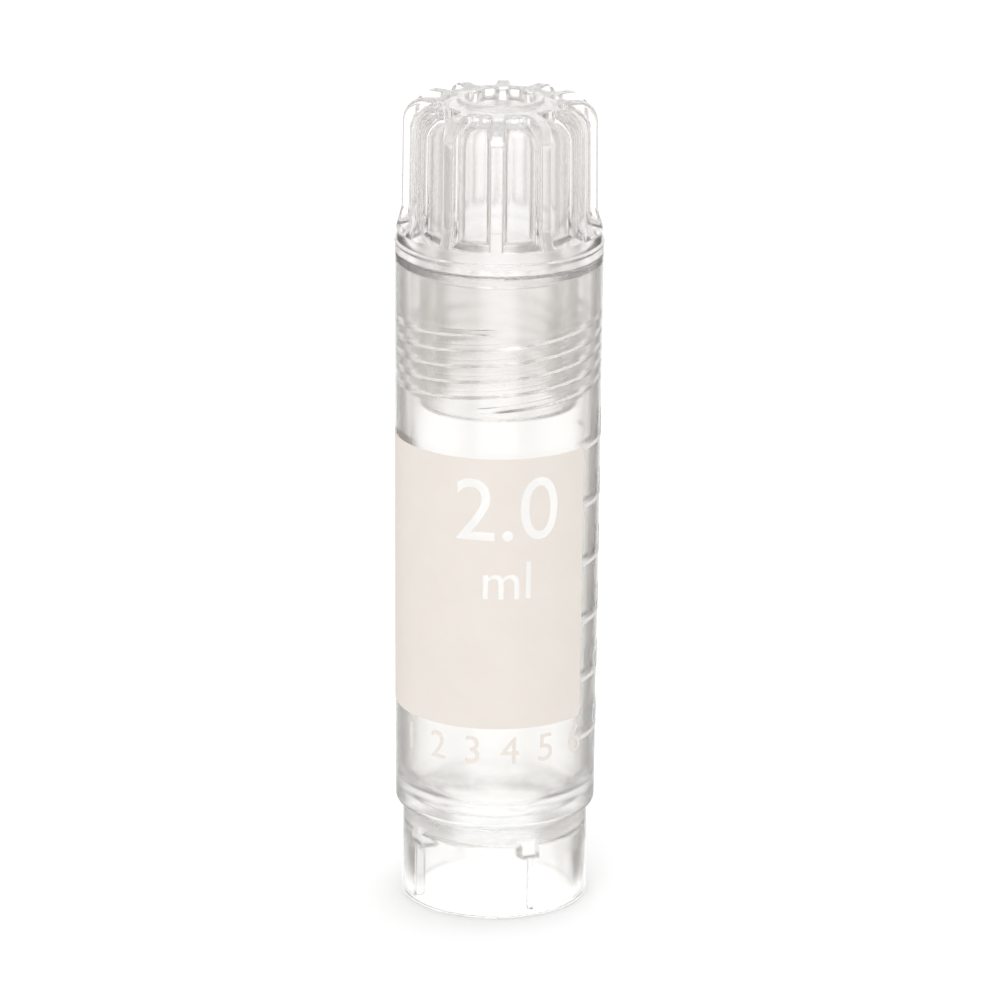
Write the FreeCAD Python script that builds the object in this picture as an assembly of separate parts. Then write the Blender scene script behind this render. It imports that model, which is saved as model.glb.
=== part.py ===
"""Self-standing internal-thread cryovial, 2 ml: a moulded vial, a ribbed screw cap and a sealing ring.

Units are millimetres. The origin is the centre of the foot's rim on the table, and +Z is the vial's axis.
Angles are in degrees, anticlockwise from +X looking down. The front of the vial faces -Y.
"""

import FreeCAD
import Part
import math
import os

# ---- driving dimensions -------------------------------------------------------------------------
# Vial, outside
BODY_TOP_R = 6.25           # at the rim
BODY_LOW_R = 6.07           # at the step above the foot, after mould draft
RIM_Z = 40.80               # top of the vial
STEP_Z = 5.88               # underside of the step between body and foot
STEP_ROUND = 0.45
FOOT_TOP_R = 5.60
FOOT_RIM_R = 5.68           # the foot flares slightly towards the table

# Vial, inside
MOUTH_R = 5.63              # widest point of the conical seat for the sealing ring
NECK_BORE_R = 5.38          # bore that carries the internal thread
SEAT_LOW_Z = 40.10
NECK_LOW_Z = 31.20          # the sample chamber below tapers for the mould's core
CHAMBER_LOW_R = 5.18
CHAMBER_FLOOR_Z = 6.50      # where the wall turns into the dished floor
CHAMBER_ROUND = 2.60
DISH_LOW_R = 0.80           # the dish's flat middle
DISH_LOW_Z = 5.50

# Foot, inside
SKIRT_BORE_R = 4.93
UNDERSIDE_Z = 4.55          # the floor's flat underside
KEY_COUNT = 4               # keys inside the skirt lock the vial in a rack
KEY_PHASE = -64.0           # the first key, a little right of the front
KEY_FIN_WIDTH = 0.26
KEY_FIN_DEPTH = 0.38        # radial depth of the fin that runs down each key
KEY_FIN_LIFT = 0.30         # the fins end this far above the table
KEY_LUG_WIDTH = 1.05
KEY_LUG_DEPTH = 1.00
KEY_LUG_Z = 3.55            # bottom of the thicker lug under the floor

# Thread, shared by the neck and the plug
LEAD = 2.90
THREAD_STARTS = 3
THREAD_TURNS = 1.75
THREAD_FADE = 0.12          # turns over which each end sinks into its wall
THREAD_START = 127.0        # degrees, where the first ridge starts
PLUG_THREAD_LOW_Z = 31.85   # centre of a ridge on the plug at its start
NECK_THREAD_LOW_Z = 32.27   # centre of a ridge in the neck at its start
RIDGE_ROOT_WIDTH = 0.50
RIDGE_CREST_WIDTH = 0.24
PLUG_THREAD_R = 5.25        # crest of the plug's ridges
NECK_THREAD_R = 4.93        # crest of the neck's ridges
RIDGE_SINK = 0.10           # how far a ridge's root lies inside its wall

# Cap, outside
FLANGE_UNDER_Z = 40.85
FLANGE_RIM_R = 6.30         # thin lowest rim
FLANGE_RIM_Z = 41.47
FLANGE_R = 6.18
FLANGE_EDGE_Z = 42.25       # outer edge of the flange's sloping top
GRIP_LOW_R = 5.86
GRIP_TOP_R = 5.80
GRIP_FLARE_Z = 43.45        # below this the grip flares out to the flange
GRIP_TOP_Z = 50.00
GRIP_TOP_ROUND = 1.25
HUB_RING_R = 2.60           # raised ring round the insert well
HUB_RING_Z = 50.20
WELL_R = 2.10               # takes a press-in colour insert
WELL_FLOOR_Z = 49.45

# Grooves between the grip ribs
RIB_COUNT = 12
RIB_PHASE = -91.8           # the front rib sits just left of centre
RIB_WIDTH = 0.84
RIB_EDGE_ROUND = 0.16
GROOVE_END_R = 3.70         # where a groove ends on top, at the hub
GROOVE_TOP_Z = 49.15        # floor of a groove on top
GROOVE_TOP_R = 5.00
GROOVE_SHOULDER_ROUND = 0.95
GROOVE_LOW_R = 5.08
GROOVE_LOW_Z = 42.55
GROOVE_CORNER_ROUND = 0.42

# Cap, plug
RING_GROOVE_R = 4.43
RING_GROOVE_LOW_Z = 39.77
PLUG_TOP_R = 4.78
PLUG_LOW_R = 4.74
PLUG_LOW_Z = 31.45
PLUG_BORE_LOW_R = 3.85
PLUG_BORE_TOP_R = 3.65
PLUG_BORE_TOP_Z = 48.45

# Sealing ring
RING_SECTION_R = 0.475
RING_CENTRE_R = 4.925
RING_CENTRE_Z = 40.30

AXIS_FOOT = FreeCAD.Vector(0, 0, 0)
AXIS_UP = FreeCAD.Vector(0, 0, 1)


# ---- helpers ------------------------------------------------------------------------------------
def point(radius, height, degrees=0.0):
    """A point at a radius and height, in the half-plane at that angle about the axis."""
    angle = math.radians(degrees)
    return FreeCAD.Vector(radius * math.cos(angle), radius * math.sin(angle), height)


def corner_arc(before, corner, after, radius):
    """Start, middle and end of the arc of that radius that rounds a corner."""
    back = (before - corner).normalize()
    ahead = (after - corner).normalize()
    half_angle = back.getAngle(ahead) / 2
    reach = radius / math.tan(half_angle)
    centre = corner + (back + ahead).normalize() * (radius / math.sin(half_angle))
    middle = centre + (corner - centre).normalize() * radius
    return corner + back * reach, middle, corner + ahead * reach


def section(corners):
    """Face in the XZ plane through (radius, height, rounding) corners, each rounded by an arc."""
    places = [point(radius, height) for radius, height, _ in corners]
    spans = []
    for i, (_, _, rounding) in enumerate(corners):
        if rounding:
            spans.append(corner_arc(places[i - 1], places[i], places[(i + 1) % len(places)], rounding))
        else:
            spans.append((places[i],))
    edges = []
    for span, following in zip(spans, spans[1:] + spans[:1]):
        if len(span) == 3:
            edges.append(Part.Arc(*span).toShape())
        edges.append(Part.makeLine(span[-1], following[0]))
    return Part.Face(Part.Wire(edges))


def turned(corners):
    """Solid of revolution about the axis from a rounded section."""
    return section(corners).revolve(AXIS_FOOT, AXIS_UP, 360)


def slab(corners, width):
    """A rounded section made into a plate of that width, centred on the XZ plane."""
    face = section(corners)
    face.translate(FreeCAD.Vector(0, -width / 2, 0))
    return face.extrude(FreeCAD.Vector(0, width, 0))


def repeated(shape, count, phase):
    """Copies of a shape spaced evenly about the axis, the first one turned by the phase."""
    copies = []
    for i in range(count):
        copy = shape.copy()
        copy.rotate(AXIS_FOOT, AXIS_UP, phase + 360 / count * i)
        copies.append(copy)
    return copies


def thread_ridge(root_r, crest_r, low_z):
    """Right-handed ridge of trapezoidal section whose ends sink into the wall it stands on."""
    steps = 96
    paths = [[], [], [], []]
    for i in range(steps + 1):
        turns = THREAD_TURNS * i / steps
        to_end = min(turns, THREAD_TURNS - turns)
        rise = min(1.0, to_end / THREAD_FADE)
        blend = rise * rise * (3 - 2 * rise)
        crest_here = root_r + (crest_r - root_r) * (0.1 + 0.9 * blend)
        degrees = THREAD_START + 360 * turns
        z = low_z + LEAD * turns
        corners = [
            (root_r, z - RIDGE_ROOT_WIDTH / 2),
            (crest_here, z - RIDGE_CREST_WIDTH / 2),
            (crest_here, z + RIDGE_CREST_WIDTH / 2),
            (root_r, z + RIDGE_ROOT_WIDTH / 2),
        ]
        for path, (radius, height) in zip(paths, corners):
            path.append(point(radius, height, degrees))
    rails = []
    for path in paths:
        rail = Part.BSplineCurve()
        rail.interpolate(path)
        rails.append(rail.toShape())
    faces = [Part.makeRuledSurface(a, b) for a, b in zip(rails, rails[1:] + rails[:1])]
    for end in (0, -1):
        ring = [path[end] for path in paths]
        faces.append(Part.Face(Part.makePolygon(ring + ring[:1])))
    ridge = Part.Solid(Part.makeShell(faces))
    if ridge.Volume < 0:
        ridge.reverse()
    return ridge


# ---- vial ---------------------------------------------------------------------------------------
def vial_shell():
    """The moulded wall, floor and foot skirt as one turned section."""
    return turned([
        (FOOT_RIM_R, 0, 0.08),
        (FOOT_TOP_R, STEP_Z, 0.15),
        (BODY_LOW_R, STEP_Z, STEP_ROUND),
        (BODY_TOP_R, RIM_Z, 0.15),
        (MOUTH_R, RIM_Z, 0.06),
        (NECK_BORE_R, SEAT_LOW_Z, 0),
        (NECK_BORE_R, NECK_LOW_Z, 0),
        (CHAMBER_LOW_R, CHAMBER_FLOOR_Z, CHAMBER_ROUND),
        (DISH_LOW_R, DISH_LOW_Z, 1.50),
        (0, DISH_LOW_Z, 0),
        (0, UNDERSIDE_Z, 0),
        (SKIRT_BORE_R - 0.06, UNDERSIDE_Z, 0.40),
        (SKIRT_BORE_R, 0, 0.12),
    ])


def rack_key():
    """A thin fin down the inside of the skirt, with a thicker lug under the floor."""
    outer = SKIRT_BORE_R + 0.3
    fin_r = SKIRT_BORE_R - KEY_FIN_DEPTH
    lug_r = SKIRT_BORE_R - KEY_LUG_DEPTH
    top_z = UNDERSIDE_Z + 0.3
    fin = slab([(outer, KEY_FIN_LIFT, 0), (fin_r, KEY_FIN_LIFT, 0.2), (fin_r, top_z, 0), (outer, top_z, 0)],
               KEY_FIN_WIDTH)
    lug = slab([(outer, KEY_LUG_Z, 0), (lug_r, KEY_LUG_Z, 0.2), (lug_r, top_z, 0), (outer, top_z, 0)],
               KEY_LUG_WIDTH)
    return fin.fuse(lug)


def vial():
    """Vial with its internal thread and rack keys."""
    keys = repeated(rack_key(), KEY_COUNT, KEY_PHASE)
    ridge = thread_ridge(NECK_BORE_R + RIDGE_SINK, NECK_THREAD_R, NECK_THREAD_LOW_Z)
    return vial_shell().fuse(keys + repeated(ridge, THREAD_STARTS, 0))


# ---- cap ----------------------------------------------------------------------------------------
def cap_blank():
    """Grip before its grooves are cut, flange, insert well and hollow plug as one turned section."""
    return turned([
        (0, WELL_FLOOR_Z, 0),
        (WELL_R, WELL_FLOOR_Z, 0),
        (WELL_R, HUB_RING_Z, 0.10),
        (HUB_RING_R, HUB_RING_Z, 0.10),
        (HUB_RING_R + 0.02, GRIP_TOP_Z, 0),
        (GRIP_TOP_R, GRIP_TOP_Z, GRIP_TOP_ROUND),
        (GRIP_LOW_R, GRIP_FLARE_Z, 1.20),
        (FLANGE_R, FLANGE_EDGE_Z, 0.10),
        (FLANGE_R, FLANGE_RIM_Z + 0.12, 0.06),
        (FLANGE_RIM_R, FLANGE_RIM_Z, 0.06),
        (FLANGE_RIM_R, FLANGE_UNDER_Z, 0.10),
        (RING_GROOVE_R, FLANGE_UNDER_Z, 0),
        (RING_GROOVE_R, RING_GROOVE_LOW_Z, 0),
        (PLUG_TOP_R, RING_GROOVE_LOW_Z, 0.06),
        (PLUG_LOW_R, PLUG_LOW_Z, 0.20),
        (PLUG_BORE_LOW_R, PLUG_LOW_Z, 0.15),
        (PLUG_BORE_TOP_R, PLUG_BORE_TOP_Z, 0.60),
        (0, PLUG_BORE_TOP_Z, 0),
    ])


def groove_cutter():
    """The wedge cut away between two grip ribs, rounded where its floor meets the ribs and the hub."""
    clear_r = GRIP_TOP_R + 1.7
    clear_z = GRIP_TOP_Z + 1.0
    slope = (GROOVE_LOW_Z - FLANGE_EDGE_Z) / (FLANGE_R - GROOVE_LOW_R)
    plate = slab([
        (GROOVE_END_R, clear_z, 0),
        (GROOVE_END_R, GROOVE_TOP_Z, 0),
        (GROOVE_TOP_R, GROOVE_TOP_Z, GROOVE_SHOULDER_ROUND),
        (GROOVE_LOW_R, GROOVE_LOW_Z, 0),
        (clear_r, GROOVE_LOW_Z - slope * (clear_r - GROOVE_LOW_R), 0),
        (clear_r, clear_z, 0),
    ], 6.0)
    half_angle = math.radians(180 / RIB_COUNT)
    apex_r = RIB_WIDTH / 2 / math.sin(half_angle)
    far_r = clear_r + 1.0
    far_y = (far_r - apex_r) * math.tan(half_angle)
    low_z = FLANGE_EDGE_Z - 1.5
    plan = [
        FreeCAD.Vector(apex_r, 0, low_z),
        FreeCAD.Vector(far_r, -far_y, low_z),
        FreeCAD.Vector(far_r, far_y, low_z),
        FreeCAD.Vector(apex_r, 0, low_z),
    ]
    wedge = Part.Face(Part.makePolygon(plan)).extrude(FreeCAD.Vector(0, 0, clear_z - low_z))
    cutter = plate.common(wedge).Solids[0]
    return cutter.makeFillet(GROOVE_CORNER_ROUND, [edge for edge in cutter.Edges if is_groove_corner(edge)])


def is_groove_corner(edge):
    """True for the cutter's edges along the ribs, and across the hub and the foot of the groove."""
    start, end = edge.Vertexes
    if max(math.hypot(start.X, start.Y), math.hypot(end.X, end.Y)) > GROOVE_LOW_R + 0.4:
        return False
    along_rib = abs(start.Y - end.Y) < 0.5
    at_hub = abs(start.X - GROOVE_END_R) < 0.01 and abs(start.Z - GROOVE_TOP_Z) < 0.01
    at_foot = abs(start.Z - GROOVE_LOW_Z) < 0.01
    return along_rib or at_hub or at_foot


def is_groove_mouth(edge):
    """True for the edges of a groove's mouth on top of the grip."""
    box = edge.BoundBox
    on_top = abs(box.ZMin - GRIP_TOP_Z) < 0.01 and abs(box.ZMax - GRIP_TOP_Z) < 0.01
    about_axis = isinstance(edge.Curve, Part.Circle) and math.hypot(*edge.Curve.Center[:2]) < 0.01
    return on_top and not about_axis


def screw_cap():
    """Cap with its grip ribs and the plug's external thread."""
    half_step = 180 / RIB_COUNT
    grooves = repeated(groove_cutter(), RIB_COUNT, RIB_PHASE + half_step)
    grooved = cap_blank().cut(grooves)
    # Each rounding runs on from the mouth down both sides of the groove, as far as the flange.
    rounded = grooved.makeFillet(RIB_EDGE_ROUND, [edge for edge in grooved.Edges if is_groove_mouth(edge)])
    ridge = thread_ridge(PLUG_LOW_R - RIDGE_SINK, PLUG_THREAD_R, PLUG_THREAD_LOW_Z)
    return rounded.fuse(repeated(ridge, THREAD_STARTS, 0))


# ---- sealing ring -------------------------------------------------------------------------------
def sealing_ring():
    """Round-section silicone ring in the plug's groove, on the vial's conical seat."""
    return Part.makeTorus(RING_CENTRE_R, RING_SECTION_R, FreeCAD.Vector(0, 0, RING_CENTRE_Z))


# ---- output -------------------------------------------------------------------------------------
NODES = {
    "vial_body": vial,
    "screw_cap": screw_cap,
    "sealing_ring": sealing_ring,
}


def main():
    os.makedirs("parts", exist_ok=True)
    for name, build in NODES.items():
        shape = build()
        shape.exportStep(f"parts/{name}.step")
        print(name, "solids", len(shape.Solids), "valid", shape.isValid(), "mm3", round(shape.Volume, 1))


main()
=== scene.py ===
"""Looks of the cryovial: clear moulded vial and cap, a silicone ring, and the print on the vial."""

import math

import bmesh
import bpy
from mathutils import Matrix, Vector


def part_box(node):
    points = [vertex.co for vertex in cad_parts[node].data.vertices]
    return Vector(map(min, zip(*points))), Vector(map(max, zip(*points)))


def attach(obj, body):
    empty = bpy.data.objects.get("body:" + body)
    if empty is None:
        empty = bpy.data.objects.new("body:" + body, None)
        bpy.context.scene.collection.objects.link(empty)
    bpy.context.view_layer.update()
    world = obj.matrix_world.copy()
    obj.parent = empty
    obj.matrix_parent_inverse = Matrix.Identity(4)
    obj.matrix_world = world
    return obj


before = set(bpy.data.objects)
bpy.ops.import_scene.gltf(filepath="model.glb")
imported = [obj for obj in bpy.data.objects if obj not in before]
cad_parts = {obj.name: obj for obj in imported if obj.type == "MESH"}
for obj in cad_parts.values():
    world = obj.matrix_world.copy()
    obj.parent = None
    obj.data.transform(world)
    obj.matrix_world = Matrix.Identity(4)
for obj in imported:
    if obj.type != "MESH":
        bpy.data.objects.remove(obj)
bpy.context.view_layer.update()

MM = 0.001

# The vial's outside, which carries the print. It tapers a little towards the foot.
VIAL_LOW, VIAL_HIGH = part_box("vial_body")
RIM_Z = VIAL_HIGH.z
RIM_R = 6.25 * MM
STEP_Z = 5.88 * MM             # the body ends here, above the narrower foot
STEP_R = 6.07 * MM

# Ink is a thin film that lies on the wall, between these two heights above it.
INK_LOW = 0.004 * MM
INK_TOP = 0.024 * MM
STRIP_ANGLE = math.radians(3)  # the width of the flat strips that a film is bent in

# Places on the vial: angles run from the front of the vial towards its right side.
PANEL_LEFT = math.radians(-104)
PANEL_RIGHT = math.radians(56)
PANEL_LOW_Z = 12.48 * MM
PANEL_HIGH_Z = 29.55 * MM
PANEL_CORNER_R = 0.45 * MM

CAPACITY_ANGLE = math.radians(6)
CAPACITY_Z = 24.45 * MM
CAPACITY_SIZE = 5.6 * MM
UNIT_Z = 20.75 * MM
UNIT_SIZE = 3.4 * MM

THAW_COUNT = 6
THAW_FIRST_ANGLE = math.radians(-56)
THAW_STEP_ANGLE = math.radians(21.5)
THAW_Z = 10.25 * MM
THAW_SIZE = 2.5 * MM

SCALE_COUNT = 6
SCALE_LOW_Z = 10.95 * MM
SCALE_STEP_Z = 3.7 * MM        # three tenths of a millilitre in the chamber
SCALE_LOW_VALUE = 0.4
SCALE_STEP_VALUE = 0.3
SCALE_LINE_START = math.radians(57.5)
SCALE_LINE_END = math.radians(112)
SCALE_LINE_WIDTH = 0.26 * MM
SCALE_TEXT_ANGLE = math.radians(84)
SCALE_TEXT_GAP = 0.3 * MM
SCALE_TEXT_SIZE = 1.75 * MM


def body_radius(z):
    """Radius of the vial's outside between the step and the rim."""
    return STEP_R + (RIM_R - STEP_R) * (z - STEP_Z) / (RIM_Z - STEP_Z)


# ----------------------------------------------------------------- node helpers

# Sockets of a colour Mix node, whose names are shared with its other kinds.
MIX_FIRST = 6
MIX_SECOND = 7
MIX_RESULT = 2


def tree_of(material):
    """A cleared node tree for a material or a world."""
    material.use_nodes = True
    material.node_tree.nodes.clear()
    return material.node_tree


def add_node(tree, kind, links=None, **settings):
    """A node with its settings, and its inputs set to values or linked to outputs."""
    node = tree.nodes.new(kind)
    for name, value in settings.items():
        setattr(node, name, value)
    for name, value in (links or {}).items():
        socket = node.inputs[name]
        if isinstance(value, bpy.types.NodeSocket):
            tree.links.new(value, socket)
        else:
            socket.default_value = value
    return node


def maths(tree, operation, *values, **settings):
    """The result of a math node on its values, which may be numbers or outputs."""
    node = add_node(tree, "ShaderNodeMath", dict(enumerate(values)), operation=operation,
                    **settings)
    return node.outputs[0]


def level_part(tree, vector):
    """The level part of a vector, and its length."""
    flat = add_node(tree, "ShaderNodeVectorMath", {0: vector, 1: (1.0, 1.0, 0.0)},
                    operation="MULTIPLY").outputs[0]
    reach = add_node(tree, "ShaderNodeVectorMath", {0: flat}, operation="LENGTH")
    return flat, reach.outputs["Value"]


def mix_colours(tree, mask, first, second):
    """First colour where the mask is 0, second where it is 1; each a colour or an output."""
    ends = [value if isinstance(value, bpy.types.NodeSocket) else (*value, 1.0)
            for value in (first, second)]
    mix = add_node(tree, "ShaderNodeMix",
                   {"Factor": mask, MIX_FIRST: ends[0], MIX_SECOND: ends[1]}, data_type="RGBA")
    return mix.outputs[MIX_RESULT]


def new_group(name, kind, inputs, outputs):
    """A node group with named inputs (name, type, default) and outputs (name, type)."""
    group = bpy.data.node_groups.new(name, kind)
    for label, socket_type, default in inputs:
        socket = group.interface.new_socket(label, in_out="INPUT", socket_type=socket_type)
        if default is not None:
            socket.default_value = default
    for label, socket_type in outputs:
        group.interface.new_socket(label, in_out="OUTPUT", socket_type=socket_type)
    start = group.nodes.new("NodeGroupInput")
    end = group.nodes.new("NodeGroupOutput")
    return group, start.outputs, end.inputs


def place_group(tree, group, links):
    """A shader group placed in a material with its own values."""
    return add_node(tree, "ShaderNodeGroup", links, node_tree=group)


# ------------------------------------------------------- shared surface effects

def make_flow_haze():
    """Cloudy streaks of haze, drawn out along the axis as the plastic flowed in the mould."""
    group, given, result = new_group(
        "flow_haze", "ShaderNodeTree",
        [("Position", "NodeSocketVector", None), ("Cloud Scale", "NodeSocketFloat", 180.0),
         ("Stretch", "NodeSocketVector", (1.0, 1.0, 0.35)), ("Low", "NodeSocketFloat", 0.0),
         ("High", "NodeSocketFloat", 1.0)],
        [("Mask", "NodeSocketFloat")])
    drawn = add_node(group, "ShaderNodeVectorMath", {0: given["Position"], 1: given["Stretch"]},
                     operation="MULTIPLY")
    cloud = add_node(group, "ShaderNodeTexNoise",
                     {"Vector": drawn.outputs[0], "Scale": given["Cloud Scale"], "Detail": 3.0,
                      "Roughness": 0.55, "Distortion": 0.4})
    spread = add_node(group, "ShaderNodeMapRange",
                      {"Value": cloud.outputs["Fac"], "From Min": 0.3, "From Max": 0.7,
                       "To Min": given["Low"], "To Max": given["High"]},
                      interpolation_type="SMOOTHSTEP")
    group.links.new(spread.outputs["Result"], result["Mask"])
    return group


def make_mould_ripple():
    """Height of a moulded surface: slow sink waves and a fine polish grain."""
    group, given, result = new_group(
        "mould_ripple", "ShaderNodeTree",
        [("Position", "NodeSocketVector", None), ("Wave Scale", "NodeSocketFloat", 260.0),
         ("Grain Scale", "NodeSocketFloat", 3800.0), ("Grain Share", "NodeSocketFloat", 0.12)],
        [("Height", "NodeSocketFloat")])
    wave = add_node(group, "ShaderNodeTexNoise",
                    {"Vector": given["Position"], "Scale": given["Wave Scale"], "Detail": 1.5})
    grain = add_node(group, "ShaderNodeTexNoise",
                     {"Vector": given["Position"], "Scale": given["Grain Scale"], "Detail": 2.0})
    both = maths(group, "MULTIPLY_ADD", grain.outputs["Fac"], given["Grain Share"],
                 wave.outputs["Fac"])
    group.links.new(both, result["Height"])
    return group


def make_handling_scuffs():
    """Short fine scuff lines from racks and gloves, as a mask."""
    group, given, result = new_group(
        "handling_scuffs", "ShaderNodeTree",
        [("Position", "NodeSocketVector", None), ("Scuff Scale", "NodeSocketFloat", 900.0),
         ("Amount", "NodeSocketFloat", 1.0)],
        [("Mask", "NodeSocketFloat")])
    bent = add_node(group, "ShaderNodeTexNoise",
                    {"Vector": given["Position"], "Scale": 140.0, "Detail": 1.0})
    shift = add_node(group, "ShaderNodeVectorMath",
                     {0: bent.outputs["Color"], 1: (0.004, 0.004, 0.012), 2: given["Position"]},
                     operation="MULTIPLY_ADD")
    cells = add_node(group, "ShaderNodeTexVoronoi",
                     {"Vector": shift.outputs[0], "Scale": given["Scuff Scale"]},
                     feature="DISTANCE_TO_EDGE")
    thin = add_node(group, "ShaderNodeMapRange",
                    {"Value": cells.outputs["Distance"], "From Min": 0.0, "From Max": 0.035,
                     "To Min": 1.0, "To Max": 0.0})
    patch = add_node(group, "ShaderNodeTexNoise",
                     {"Vector": given["Position"], "Scale": 420.0, "Detail": 2.0})
    where = add_node(group, "ShaderNodeMapRange",
                     {"Value": patch.outputs["Fac"], "From Min": 0.56, "From Max": 0.68})
    both = maths(group, "MULTIPLY", thin.outputs["Result"], where.outputs["Result"])
    amount = maths(group, "MULTIPLY", both, given["Amount"], use_clamp=True)
    group.links.new(amount, result["Mask"])
    return group


def make_print_grain():
    """Screen-printed ink: its weave height and a mask of where the ink lies thin."""
    group, given, result = new_group(
        "print_grain", "ShaderNodeTree",
        [("Position", "NodeSocketVector", None), ("Mesh Scale", "NodeSocketFloat", 9000.0),
         ("Cloud Scale", "NodeSocketFloat", 350.0)],
        [("Height", "NodeSocketFloat"), ("Thin", "NodeSocketFloat")])
    mesh = add_node(group, "ShaderNodeTexNoise",
                    {"Vector": given["Position"], "Scale": given["Mesh Scale"], "Detail": 1.0})
    cloud = add_node(group, "ShaderNodeTexNoise",
                     {"Vector": given["Position"], "Scale": given["Cloud Scale"], "Detail": 4.0,
                      "Roughness": 0.6})
    thin = add_node(group, "ShaderNodeMapRange",
                    {"Value": cloud.outputs["Fac"], "From Min": 0.35, "From Max": 0.7},
                    interpolation_type="SMOOTHSTEP")
    group.links.new(mesh.outputs["Fac"], result["Height"])
    group.links.new(thin.outputs["Result"], result["Thin"])
    return group


def make_matt_place():
    """Mask of a ring about the axis, between two radii and two heights, with soft edges."""
    group, given, result = new_group(
        "matt_place", "ShaderNodeTree",
        [("Position", "NodeSocketVector", None), ("Inner Radius", "NodeSocketFloat", -1.0),
         ("Outer Radius", "NodeSocketFloat", 0.004), ("Low", "NodeSocketFloat", 0.0),
         ("Top", "NodeSocketFloat", 0.01), ("Softness", "NodeSocketFloat", 0.0001)],
        [("Mask", "NodeSocketFloat")])
    _, radius = level_part(group, given["Position"])
    height = add_node(group, "ShaderNodeSeparateXYZ", {0: given["Position"]}).outputs["Z"]
    across = maths(group, "MINIMUM", maths(group, "SUBTRACT", radius, given["Inner Radius"]),
                   maths(group, "SUBTRACT", given["Outer Radius"], radius))
    along = maths(group, "MINIMUM", maths(group, "SUBTRACT", height, given["Low"]),
                  maths(group, "SUBTRACT", given["Top"], height))
    depth = maths(group, "MINIMUM", across, along)
    share = maths(group, "DIVIDE", depth, given["Softness"], use_clamp=True)
    group.links.new(share, result["Mask"])
    return group


FLOW_HAZE = make_flow_haze()
MOULD_RIPPLE = make_mould_ripple()
HANDLING_SCUFFS = make_handling_scuffs()
PRINT_GRAIN = make_print_grain()
MATT_PLACE = make_matt_place()


# -------------------------------------------------------------------- materials

PLASTIC_IOR = 1.49
SILICONE_IOR = 1.41
INK_IOR = 1.45
SKIN_DEPTH = 0.02 * MM         # height of the ripples in plastic and silicone
INK_GRAIN_DEPTH = 0.01 * MM
SCUFF_AMOUNT = 0.6
SCUFF_ROUGHNESS = 0.03

# Matt places of the moulds: inner and outer radius, lowest and highest place, how soft their
# edges are, and the roughness they add. A place has no edge where it says NO_EDGE.
NO_EDGE = -1.0 * MM
VIAL_FLOOR = (NO_EDGE, 4.85 * MM, NO_EDGE, 9.0 * MM, 0.1 * MM, 0.05)
VIAL_BASE = (5.3 * MM, 7.0 * MM, 3.3 * MM, 6.3 * MM, 0.9 * MM, 0.34)
VIAL_SKIRT = (5.3 * MM, 7.0 * MM, 5.2 * MM, 13.0 * MM, 1.0 * MM, 0.14)
VIAL_NECK = (5.8 * MM, 7.0 * MM, 30.5 * MM, 40.4 * MM, 0.8 * MM, 0.06)
VIAL_SEAT = (5.0 * MM, 5.75 * MM, 39.9 * MM, 41.0 * MM, 0.1 * MM, 0.05)
PLUG_BORE = (NO_EDGE, 4.25 * MM, 31.0 * MM, 48.9 * MM, 0.1 * MM, 0.16)
CAP_HUB = (NO_EDGE, 2.25 * MM, 49.3 * MM, 50.05 * MM, 0.1 * MM, 0.14)
CAP_FLANGE = (5.4 * MM, 8.0 * MM, 40.9 * MM, 43.0 * MM, 0.1 * MM, 0.03)


def clear_plastic(name, clear, cloudy, transmission, haze, rough, ripple, matt_places):
    """Clear moulded polypropylene: polished, with flow haze, fine scuffs and matt places."""
    material = bpy.data.materials.new(name)
    tree = tree_of(material)
    place = add_node(tree, "ShaderNodeTexCoord").outputs["Object"]
    cloud = place_group(tree, FLOW_HAZE, {"Position": place, "Cloud Scale": haze})
    scuffs = place_group(tree, HANDLING_SCUFFS, {"Position": place, "Amount": SCUFF_AMOUNT})
    waves = place_group(tree, MOULD_RIPPLE, {"Position": place})
    roughness = add_node(tree, "ShaderNodeMapRange",
                         {"Value": cloud.outputs["Mask"], "To Min": rough[0], "To Max": rough[1]})
    worn = maths(tree, "MULTIPLY_ADD", scuffs.outputs["Mask"], SCUFF_ROUGHNESS,
                 roughness.outputs["Result"])
    for inner, outer, low, top, soft, matt in matt_places:
        ring = place_group(tree, MATT_PLACE,
                           {"Position": place, "Inner Radius": inner, "Outer Radius": outer,
                            "Low": low, "Top": top, "Softness": soft})
        worn = maths(tree, "MULTIPLY_ADD", ring.outputs["Mask"], matt, worn)
    bump = add_node(tree, "ShaderNodeBump",
                    {"Strength": ripple, "Distance": SKIN_DEPTH,
                     "Height": waves.outputs["Height"]})
    shader = add_node(tree, "ShaderNodeBsdfPrincipled",
                      {"Base Color": mix_colours(tree, cloud.outputs["Mask"], clear, cloudy),
                       "Roughness": worn, "IOR": PLASTIC_IOR,
                       "Transmission Weight": transmission, "Normal": bump.outputs["Normal"]})
    add_node(tree, "ShaderNodeOutputMaterial", {"Surface": shader.outputs["BSDF"]})
    return material


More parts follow.
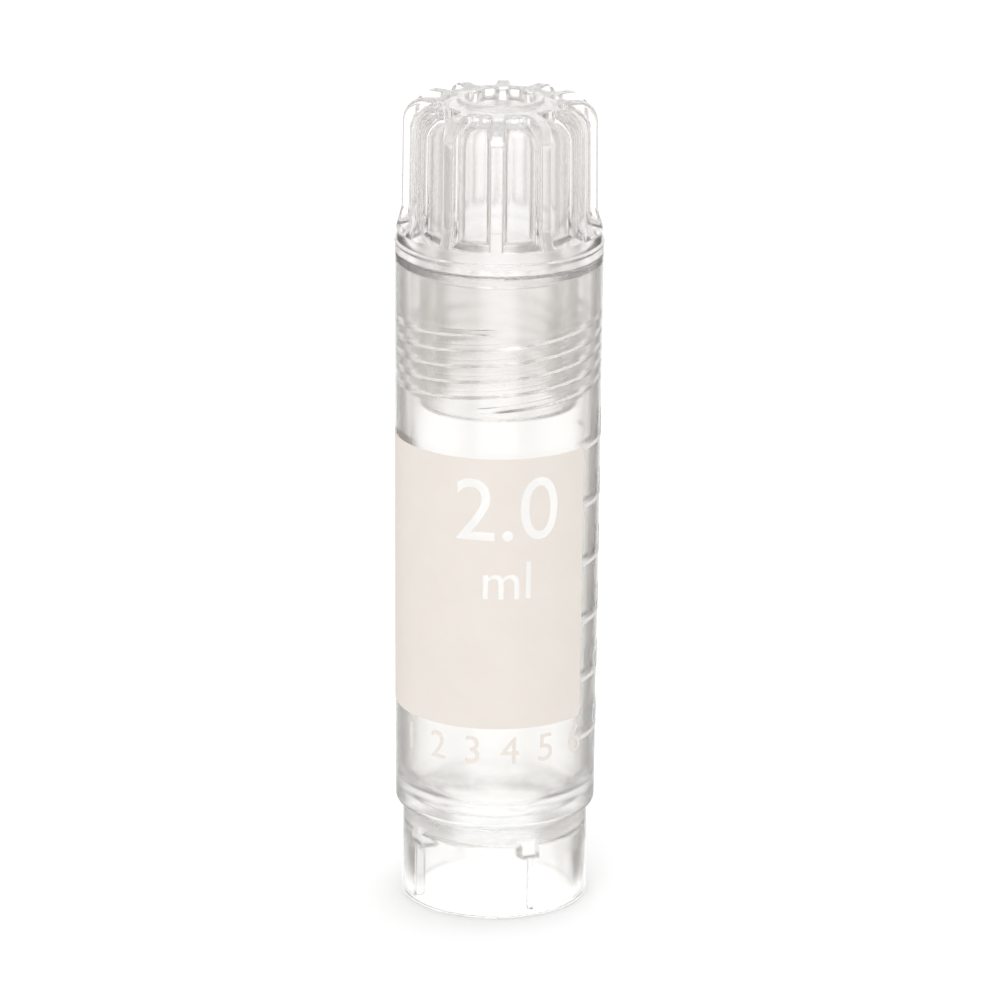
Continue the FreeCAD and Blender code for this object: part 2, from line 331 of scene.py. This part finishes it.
def silicone(name):
    """Clear silicone, polished where it seals."""
    material = bpy.data.materials.new(name)
    tree = tree_of(material)
    place = add_node(tree, "ShaderNodeTexCoord").outputs["Object"]
    cloud = place_group(tree, FLOW_HAZE,
                        {"Position": place, "Cloud Scale": 600.0, "Stretch": (1.0, 1.0, 1.0)})
    waves = place_group(tree, MOULD_RIPPLE,
                        {"Position": place, "Wave Scale": 700.0, "Grain Share": 0.5})
    roughness = add_node(tree, "ShaderNodeMapRange",
                         {"Value": cloud.outputs["Mask"], "To Min": 0.03, "To Max": 0.06})
    bump = add_node(tree, "ShaderNodeBump",
                    {"Strength": 0.25, "Distance": SKIN_DEPTH,
                     "Height": waves.outputs["Height"]})
    colour = mix_colours(tree, cloud.outputs["Mask"], (1.0, 1.0, 1.0), (1.0, 0.995, 0.99))
    shader = add_node(tree, "ShaderNodeBsdfPrincipled",
                      {"Base Color": colour, "Roughness": roughness.outputs["Result"],
                       "IOR": SILICONE_IOR, "Transmission Weight": 1.0,
                       "Normal": bump.outputs["Normal"]})
    add_node(tree, "ShaderNodeOutputMaterial", {"Surface": shader.outputs["BSDF"]})
    return material


def ink(name, full, thin, rough, bump_strength, lets_through):
    """Screen-printed ink with a faint mesh texture and thin patches; some light passes it."""
    material = bpy.data.materials.new(name)
    tree = tree_of(material)
    place = add_node(tree, "ShaderNodeTexCoord").outputs["Object"]
    grain = place_group(tree, PRINT_GRAIN, {"Position": place})
    roughness = add_node(tree, "ShaderNodeMapRange",
                         {"Value": grain.outputs["Thin"], "To Min": rough[0], "To Max": rough[1]})
    bump = add_node(tree, "ShaderNodeBump",
                    {"Strength": bump_strength, "Distance": INK_GRAIN_DEPTH,
                     "Height": grain.outputs["Height"]})
    colour = mix_colours(tree, grain.outputs["Thin"], full, thin)
    shader = add_node(tree, "ShaderNodeBsdfPrincipled",
                      {"Base Color": colour, "Roughness": roughness.outputs["Result"],
                       "IOR": INK_IOR, "Normal": bump.outputs["Normal"]})
    passed = add_node(tree, "ShaderNodeBsdfTranslucent", {"Color": colour})
    both = add_node(tree, "ShaderNodeMixShader",
                    {0: lets_through, 1: shader.outputs["BSDF"], 2: passed.outputs["BSDF"]})
    add_node(tree, "ShaderNodeOutputMaterial", {"Surface": both.outputs[0]})
    return material


VIAL_PLASTIC = clear_plastic("vial_plastic", (1.0, 0.997, 0.99), (0.995, 0.99, 0.98),
                             transmission=0.98, haze=150.0, rough=(0.10, 0.13), ripple=0.1,
                             matt_places=[VIAL_FLOOR, VIAL_BASE, VIAL_SKIRT, VIAL_NECK,
                                          VIAL_SEAT])
CAP_PLASTIC = clear_plastic("cap_plastic", (1.0, 0.995, 0.99), (0.995, 0.985, 0.98),
                            transmission=0.99, haze=210.0, rough=(0.06, 0.09), ripple=0.1,
                            matt_places=[PLUG_BORE, CAP_HUB, CAP_FLANGE])
SEAL_SILICONE = silicone("seal_silicone")
PANEL_INK = ink("panel_ink", (0.995, 0.935, 0.87), (0.975, 0.915, 0.85),
                rough=(0.5, 0.62), bump_strength=0.3, lets_through=0.2)
MARK_INK = ink("mark_ink", (0.97, 0.97, 0.96), (0.93, 0.93, 0.92),
               rough=(0.35, 0.5), bump_strength=0.2, lets_through=0.2)


def dress(node, material):
    """Gives a CAD node its material and nothing else."""
    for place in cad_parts[node].material_slots:
        place.material = material


dress("vial_body", VIAL_PLASTIC)
dress("screw_cap", CAP_PLASTIC)
dress("sealing_ring", SEAL_SILICONE)


# ------------------------------------------------------------------------ print

# Flat art is drawn in millimetres, because filling an outline is too coarse in metres.
LETTER_STEPS = 5               # points on each curved stretch of a letter
CORNER_STEPS = 6               # points on each rounded corner of the panel
WELD_GAP = 0.0002              # in flat art, in millimetres, as is the next
CUT_GAP = 0.0001
SHARP_EDGE = math.radians(30)
SCALE_LINE_STRIPS = 20         # flat strips in each graduation line


def text_curve(words, size, x, y):
    """Outlines of a line of text in the built-in font, with the middle of its base line at x, y."""
    data = bpy.data.curves.new("letters", "FONT")
    data.body = words
    data.size = size / MM
    data.align_x = "CENTER"
    data.resolution_u = LETTER_STEPS
    holder = bpy.data.objects.new("letters", data)
    outlines = holder.to_curve(bpy.context.evaluated_depsgraph_get()).copy()
    bpy.data.objects.remove(holder)
    outlines.transform(Matrix.Translation((x / MM, y / MM, 0.0)))
    return outlines


def filled(outlines):
    """A flat mesh that fills the outlines, with outlines inside others left open."""
    outlines.dimensions = "2D"
    outlines.fill_mode = "BOTH"
    holder = bpy.data.objects.new("art", outlines)
    bpy.context.scene.collection.objects.link(holder)
    bpy.context.view_layer.update()
    graph = bpy.context.evaluated_depsgraph_get()
    flat = bpy.data.meshes.new_from_object(holder.evaluated_get(graph))
    bpy.data.objects.remove(holder)
    return flat


def add_rounded_frame(outlines, low_x, low_y, high_x, high_y, corner):
    """Adds a rectangle with rounded corners to the outlines."""
    low_x, low_y, high_x, high_y, corner = (v / MM for v in (low_x, low_y, high_x, high_y, corner))
    turns = [(high_x, low_y, -90), (high_x, high_y, 0), (low_x, high_y, 90), (low_x, low_y, 180)]
    points = []
    for x, y, first in turns:
        centre_x = x + (corner if x == low_x else -corner)
        centre_y = y + (corner if y == low_y else -corner)
        for step in range(CORNER_STEPS + 1):
            angle = math.radians(first + 90 / CORNER_STEPS * step)
            points.append((centre_x + corner * math.cos(angle), centre_y + corner * math.sin(angle)))
    spline = outlines.splines.new("POLY")
    spline.points.add(len(points) - 1)
    for point, (x, y) in zip(spline.points, points):
        point.co = (x, y, 0.0, 1.0)
    spline.use_cyclic_u = True


def bend_film(name, flat, material):
    """Makes flat art a closed film of ink on the vial: x runs round it and y runs up it."""
    work = bmesh.new()
    work.from_mesh(flat)
    bmesh.ops.remove_doubles(work, verts=work.verts, dist=WELD_GAP)
    bmesh.ops.dissolve_degenerate(work, edges=work.edges, dist=CUT_GAP)
    strip = STRIP_ANGLE * RIM_R / MM
    low = min(v.co.x for v in work.verts)
    high = max(v.co.x for v in work.verts)
    for step in range(math.ceil(low / strip), math.floor(high / strip) + 1):
        everything = work.verts[:] + work.edges[:] + work.faces[:]
        bmesh.ops.bisect_plane(work, geom=everything, plane_co=(step * strip, 0, 0),
                               plane_no=(1, 0, 0), dist=CUT_GAP)
    for face in work.faces:
        if face.normal.z < 0:
            face.normal_flip()
    rims = [loop for face in work.faces for loop in face.loops if len(loop.edge.link_faces) == 1]
    rims = [(loop.vert, loop.link_loop_next.vert) for loop in rims]
    doubled = bmesh.ops.duplicate(work, geom=work.verts[:] + work.edges[:] + work.faces[:])
    pairs = doubled["vert_map"]
    below = {vert for vert in doubled["geom"] if isinstance(vert, bmesh.types.BMVert)}
    for face in doubled["geom"]:
        if isinstance(face, bmesh.types.BMFace):
            face.normal_flip()
    for first, second in rims:
        work.faces.new((second, first, pairs[first], pairs[second]))
    for vert in work.verts:
        height = vert.co.y * MM
        radius = body_radius(height) + (INK_LOW if vert in below else INK_TOP)
        angle = vert.co.x * MM / RIM_R
        vert.co = (radius * math.sin(angle), -radius * math.cos(angle), height)
    mesh = bpy.data.meshes.new(name)
    work.to_mesh(mesh)
    work.free()
    mesh.shade_smooth()
    mesh.set_sharp_from_angle(angle=SHARP_EDGE)
    mesh.materials.append(material)
    piece = bpy.data.objects.new(name, mesh)
    bpy.context.scene.collection.objects.link(piece)
    return piece


def print_on_vial(piece):
    """The film moves with the vial."""
    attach(piece, "vial")


def add_outlines(target, source):
    """Adds the closed outlines of one curve to another."""
    for spline in source.splines:
        new = target.splines.new("BEZIER")
        new.bezier_points.add(len(spline.bezier_points) - 1)
        for point, origin in zip(new.bezier_points, spline.bezier_points):
            point.handle_left_type = "FREE"
            point.handle_right_type = "FREE"
            point.co = origin.co
            point.handle_left = origin.handle_left
            point.handle_right = origin.handle_right
        new.use_cyclic_u = True
        new.resolution_u = spline.resolution_u


def make_writing_panel():
    """The writing panel, with the capacity and its unit left open in it."""
    outlines = bpy.data.curves.new("panel_outlines", "CURVE")
    middle = CAPACITY_ANGLE * RIM_R
    for words, size, z in (("2.0", CAPACITY_SIZE, CAPACITY_Z), ("ml", UNIT_SIZE, UNIT_Z)):
        add_outlines(outlines, text_curve(words, size, middle, z))
    add_rounded_frame(outlines, PANEL_LEFT * RIM_R, PANEL_LOW_Z, PANEL_RIGHT * RIM_R,
                      PANEL_HIGH_Z, PANEL_CORNER_R)
    print_on_vial(bend_film("writing_panel", filled(outlines), PANEL_INK))


def make_thaw_numbers():
    """A row of plain numbers under the panel, to ring one for each thaw."""
    for index in range(THAW_COUNT):
        angle = THAW_FIRST_ANGLE + THAW_STEP_ANGLE * index
        flat = filled(text_curve(str(index + 1), THAW_SIZE, angle * RIM_R, THAW_Z))
        print_on_vial(bend_film(f"thaw_number_{index + 1}", flat, PANEL_INK))


def make_scale_numbers():
    """The volumes beside the graduation lines."""
    for index in range(SCALE_COUNT):
        value = SCALE_LOW_VALUE + SCALE_STEP_VALUE * index
        words = f"{value:.1f}"
        z = SCALE_LOW_Z + SCALE_STEP_Z * index + SCALE_TEXT_GAP
        flat = filled(text_curve(words, SCALE_TEXT_SIZE, SCALE_TEXT_ANGLE * RIM_R, z))
        print_on_vial(bend_film(f"scale_number_{index + 1}", flat, MARK_INK))


def make_scale_tree():
    """Geometry nodes: evenly spaced printed lines bent round a tapered wall."""
    group, given, result = new_group(
        "scale_lines", "GeometryNodeTree",
        [("Count", "NodeSocketInt", 6), ("First Height", "NodeSocketFloat", 0.01),
         ("Pitch", "NodeSocketFloat", 0.004), ("Start Angle", "NodeSocketFloat", 0.0),
         ("End Angle", "NodeSocketFloat", 1.0), ("Line Width", "NodeSocketFloat", 0.0003),
         ("Strips", "NodeSocketInt", 20), ("Ink Depth", "NodeSocketFloat", 0.00003),
         ("Ink Proud", "NodeSocketFloat", 0.00002), ("Low Height", "NodeSocketFloat", 0.005),
         ("Low Radius", "NodeSocketFloat", 0.006), ("Taper", "NodeSocketFloat", 0.005),
         ("Ink", "NodeSocketMaterial", None)],
        [("Geometry", "NodeSocketGeometry")])
    arc = maths(group, "SUBTRACT", given["End Angle"], given["Start Angle"])
    size = add_node(group, "ShaderNodeCombineXYZ",
                    {"X": arc, "Y": given["Line Width"], "Z": given["Ink Depth"]})
    bar = add_node(group, "GeometryNodeMeshCube",
                   {"Size": size.outputs[0], "Vertices X": given["Strips"]})
    ends = maths(group, "ADD", given["End Angle"], given["Start Angle"])
    middle = maths(group, "MULTIPLY", ends, 0.5)
    first = add_node(group, "ShaderNodeCombineXYZ", {"X": middle, "Y": given["First Height"]})
    offset = add_node(group, "ShaderNodeCombineXYZ", {"Y": given["Pitch"]})
    column = add_node(group, "GeometryNodeMeshLine",
                      {"Count": given["Count"], "Start Location": first.outputs[0],
                       "Offset": offset.outputs[0]})
    lines = add_node(group, "GeometryNodeInstanceOnPoints",
                     {"Points": column.outputs[0], "Instance": bar.outputs["Mesh"]})
    real = add_node(group, "GeometryNodeRealizeInstances", {"Geometry": lines.outputs[0]})
    at = add_node(group, "ShaderNodeSeparateXYZ",
                  {0: add_node(group, "GeometryNodeInputPosition").outputs[0]}).outputs
    rise = maths(group, "SUBTRACT", at["Y"], given["Low Height"])
    widening = maths(group, "MULTIPLY", rise, given["Taper"])
    wall = maths(group, "ADD", widening, given["Low Radius"])
    half = maths(group, "MULTIPLY", given["Ink Depth"], 0.5)
    skin = maths(group, "ADD", maths(group, "SUBTRACT", at["Z"], half), given["Ink Proud"])
    radius = maths(group, "ADD", wall, skin)
    x = maths(group, "MULTIPLY", radius, maths(group, "SINE", at["X"]))
    ahead = maths(group, "MULTIPLY", radius, maths(group, "COSINE", at["X"]))
    y = maths(group, "MULTIPLY", ahead, -1.0)
    bent = add_node(group, "ShaderNodeCombineXYZ", {"X": x, "Y": y, "Z": at["Y"]})
    placed = add_node(group, "GeometryNodeSetPosition",
                      {"Geometry": real.outputs[0], "Position": bent.outputs[0]})
    inked = add_node(group, "GeometryNodeSetMaterial",
                     {"Geometry": placed.outputs[0], "Material": given["Ink"]})
    group.links.new(inked.outputs[0], result["Geometry"])
    return group


def grow(name, group, values):
    """Runs a geometry nodes group with its values and keeps the result as a plain mesh."""
    piece = bpy.data.objects.new(name, bpy.data.meshes.new(name))
    bpy.context.scene.collection.objects.link(piece)
    modifier = piece.modifiers.new("grow", "NODES")
    modifier.node_group = group
    sockets = {item.name: item.identifier for item in group.interface.items_tree
               if item.in_out == "INPUT"}
    for label, value in values.items():
        modifier[sockets[label]] = value
    bpy.context.view_layer.update()
    graph = bpy.context.evaluated_depsgraph_get()
    mesh = bpy.data.meshes.new_from_object(piece.evaluated_get(graph))
    piece.modifiers.clear()
    piece.data = mesh
    mesh.name = name
    return piece


def make_scale_lines():
    """The graduation lines beside the panel."""
    piece = grow("scale_lines", make_scale_tree(), {
        "Count": SCALE_COUNT, "First Height": SCALE_LOW_Z, "Pitch": SCALE_STEP_Z,
        "Start Angle": SCALE_LINE_START, "End Angle": SCALE_LINE_END,
        "Line Width": SCALE_LINE_WIDTH, "Strips": SCALE_LINE_STRIPS,
        "Ink Depth": INK_TOP - INK_LOW, "Ink Proud": INK_TOP,
        "Low Height": STEP_Z, "Low Radius": STEP_R,
        "Taper": (RIM_R - STEP_R) / (RIM_Z - STEP_Z), "Ink": MARK_INK})
    print_on_vial(piece)


make_writing_panel()
make_thaw_numbers()
make_scale_numbers()
make_scale_lines()


# ------------------------------------------------------------- floor and lights

FLOOR_HALF = 3.0
FLOOR_COLOUR = (0.9, 0.9, 0.9, 1.0)
PAINTED_BAND_GAP = 4.8 * MM            # the floor's painted dark reflection bands start this far out to either side

# What clear plastic shows of the studio, by the sine of the angle off the front-back line. On the
# floor this is a painted reflection that only gloss and clear plastic see: a glow, white behind the
# vial and dark to either side.
SHOWN_WHITE = (1.13, 1.13, 1.125)
SHOWN_PALE = (0.93, 0.905, 0.88)
# Painted shade in the floor's reflection: the dark bands that gloss and clear plastic see to either
# side.
FLOOR_PAINTED_DARK = (0.36, 0.34, 0.32)
SKY_DARK = (0.72, 0.70, 0.68)
FLOOR_PAINTED_REFLECTION = [(0.0, SHOWN_WHITE), (0.30, SHOWN_WHITE), (0.38, FLOOR_PAINTED_DARK), (0.60, FLOOR_PAINTED_DARK),
               (0.74, SHOWN_PALE), (1.0, SHOWN_PALE)]
SKY_CARDS = [(0.0, SHOWN_WHITE), (0.30, SHOWN_WHITE), (0.36, SKY_DARK), (0.62, SKY_DARK),
             (0.74, SHOWN_PALE), (1.0, SHOWN_PALE)]
WHITE = (1.0, 1.0, 1.0)
FLOOR_GLOW = 0.17              # lifts the floor behind the vial to white, round its shadow

# The light of the surroundings, in front and behind, and from the sides.
SKY_LIGHT = (1.05, 1.05, 1.05)
SIDE_LIGHT = (0.85, 0.85, 0.85)

# The two softboxes, in metres and watts.
SOFTBOX_AIM = (0, 0, 0.025)
SOFTBOX_POWER = 0.8
FRONT_PLACE = (-0.2, -0.5, 0.6)
FRONT_SIDE = 0.35
TOP_PLACE = (0.1, 0.15, 0.8)
TOP_SIDE = 0.4


def shown_ray(tree):
    """Two masks: rays straight from the camera, and rays by gloss or through clear plastic."""
    rays = add_node(tree, "ShaderNodeLightPath").outputs
    see = maths(tree, "MAXIMUM", rays["Is Glossy Ray"], rays["Is Transmission Ray"])
    return rays["Is Camera Ray"], see


def side_share(tree, direction, near):
    """How far a direction turns to either side: 0 in front, behind and up to near, 1 far out."""
    flat, reach = level_part(tree, direction)
    across = add_node(tree, "ShaderNodeSeparateXYZ", {0: flat}).outputs["X"]
    past = maths(tree, "SUBTRACT", maths(tree, "ABSOLUTE", across), near)
    return maths(tree, "DIVIDE", past, reach, use_clamp=True)


def side_bands(tree, share, colours):
    """Bands of colour by how far a direction turns to either side: on the floor a painted
    reflection, in the sky the surroundings' own light.
    """
    cards = add_node(tree, "ShaderNodeValToRGB", {"Fac": share})
    stops = cards.color_ramp.elements
    while len(stops) < len(colours):
        stops.new(1.0)
    for stop, (place, colour) in zip(stops, colours):
        stop.position = place
        stop.color = (*colour, 1.0)
    return cards.outputs["Color"]


def make_floor():
    """A plain pale floor that keeps the vial's shadow and reads as white behind it. Gloss and clear
    plastic see it instead as a painted reflection: a glow of white with dark bands to either side.
    """
    mesh = bpy.data.meshes.new("floor")
    signs = [(-1, -1), (1, -1), (1, 1), (-1, 1)]
    corners = [(x * FLOOR_HALF, y * FLOOR_HALF, 0) for x, y in signs]
    mesh.from_pydata(corners, [], [(0, 1, 2, 3)])
    material = bpy.data.materials.new("floor")
    tree = tree_of(material)
    camera, see = shown_ray(tree)
    place = add_node(tree, "ShaderNodeTexCoord").outputs["Object"]
    # Painted reflection: the glow of white and dark bands that gloss and clear plastic see in place
    # of the lit floor.
    seen = side_bands(tree, side_share(tree, place, PAINTED_BAND_GAP), FLOOR_PAINTED_REFLECTION)
    diffuse = add_node(tree, "ShaderNodeBsdfDiffuse", {"Color": FLOOR_COLOUR})
    white = add_node(tree, "ShaderNodeEmission", {"Strength": FLOOR_GLOW})
    studio = add_node(tree, "ShaderNodeEmission", {"Color": seen})
    looked = add_node(tree, "ShaderNodeAddShader", {0: diffuse.outputs[0], 1: white.outputs[0]})
    through = add_node(tree, "ShaderNodeMixShader",
                       {0: see, 1: diffuse.outputs[0], 2: studio.outputs[0]})
    both = add_node(tree, "ShaderNodeMixShader",
                    {0: camera, 1: through.outputs[0], 2: looked.outputs[0]})
    add_node(tree, "ShaderNodeOutputMaterial", {"Surface": both.outputs[0]})
    mesh.materials.append(material)
    floor = bpy.data.objects.new("floor", mesh)
    bpy.context.scene.collection.objects.link(floor)


def make_world():
    """Soft white surroundings, with the studio's cards for gloss and clear plastic to show."""
    world = bpy.data.worlds.new("studio")
    bpy.context.scene.world = world
    tree = tree_of(world)
    camera, see = shown_ray(tree)
    direction = add_node(tree, "ShaderNodeTexCoord").outputs["Generated"]
    share = side_share(tree, direction, near=0.0)
    seen = side_bands(tree, share, SKY_CARDS)
    lit = mix_colours(tree, share, SKY_LIGHT, SIDE_LIGHT)
    by_ray = mix_colours(tree, see, lit, seen)
    by_camera = mix_colours(tree, camera, by_ray, WHITE)
    sky = add_node(tree, "ShaderNodeBackground", {"Color": by_camera})
    add_node(tree, "ShaderNodeOutputWorld", {"Surface": sky.outputs[0]})


def make_softbox(name, place, side):
    """A soft square area lamp turned towards the vial."""
    data = bpy.data.lights.new(name, "AREA")
    data.shape = "RECTANGLE"
    data.size = side
    data.size_y = side
    data.energy = SOFTBOX_POWER
    lamp = bpy.data.objects.new(name, data)
    lamp.location = place
    turned = Vector(SOFTBOX_AIM) - Vector(place)
    lamp.rotation_euler = turned.to_track_quat("-Z", "Y").to_euler()
    bpy.context.scene.collection.objects.link(lamp)


make_floor()
make_world()
make_softbox("softbox_front", FRONT_PLACE, FRONT_SIDE)
make_softbox("softbox_top", TOP_PLACE, TOP_SIDE)


# ----------------------------------------------------------------------- camera

CAMERA_PLACE = Vector((0.0, -0.3804, 0.14865))
CAMERA_AIM = Vector((0.000164, 0.0, 0.02502))
CAMERA_ROLL = math.radians(0.5)
SENSOR_WIDTH = 36.0            # millimetres, as is the lens
CAMERA_LENS = 237.9
NEAREST_SEEN = 0.01


def make_camera():
    """The camera, which looks a little down at the vial's front."""
    data = bpy.data.cameras.new("camera")
    data.sensor_width = SENSOR_WIDTH
    data.lens = CAMERA_LENS
    data.clip_start = NEAREST_SEEN
    camera = bpy.data.objects.new("camera", data)
    look = (CAMERA_AIM - CAMERA_PLACE).to_track_quat("-Z", "Y").to_matrix()
    turned = look @ Matrix.Rotation(CAMERA_ROLL, 3, "Z")
    camera.matrix_world = Matrix.Translation(CAMERA_PLACE) @ turned.to_4x4()
    bpy.context.scene.collection.objects.link(camera)
    bpy.context.scene.camera = camera


make_camera()


# ------------------------------------------------------------ settings

scene = bpy.context.scene
scene.view_settings.view_transform = "Standard"
scene.cycles.max_bounces = 32
scene.cycles.transmission_bounces = 32
scene.cycles.glossy_bounces = 12
scene.cycles.diffuse_bounces = 4
scene.cycles.transparent_max_bounces = 16
